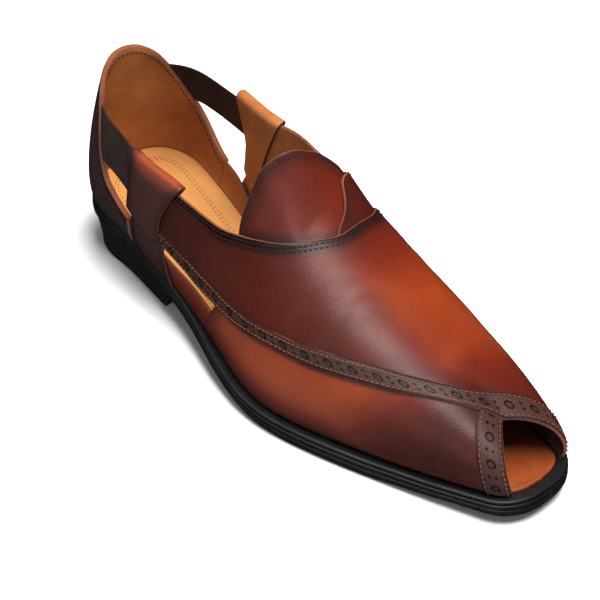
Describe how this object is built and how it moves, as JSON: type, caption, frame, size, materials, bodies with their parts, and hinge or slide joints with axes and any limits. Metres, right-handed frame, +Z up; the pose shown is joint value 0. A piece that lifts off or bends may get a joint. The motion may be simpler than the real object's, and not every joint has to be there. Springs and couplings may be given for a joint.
{
  "type": "peshawari chappal",
  "caption": "Right closed-back leather sandal with a low vamp, peep toe, fold-over side keepers, elastic back straps and a low stacked heel.",
  "frame": {"origin": "bottom centre of the bounding box, on the floor under the middle of the shoe", "axes": "+Y from heel to toe, +X to the outer (lateral) side of this right shoe, +Z up"},
  "size_m": [0.1022, 0.3006, 0.1136],
  "materials": {
    "upper_leather": "semi-gloss burnished leather",
    "tongue_leather": "semi-gloss leather",
    "insole_leather": "smooth honey lining leather",
    "keeper_leather": "semi-gloss leather",
    "elastic_webbing": "ribbed dark elastic",
    "sole_rubber": "satin black rubber",
    "heel_rubber": "satin black rubber"
  },
  "bodies": {
    "root": {"upper": "upper_leather", "tongue": "tongue_leather", "insole": "insole_leather", "keeper_lateral": "keeper_leather", "keeper_medial": "keeper_leather", "elastic_lateral": "elastic_webbing", "elastic_medial": "elastic_webbing", "welt": "sole_rubber", "outsole": "sole_rubber", "heel": "heel_rubber", "heel_top_piece": "heel_rubber"}
  },
  "joints": []
}
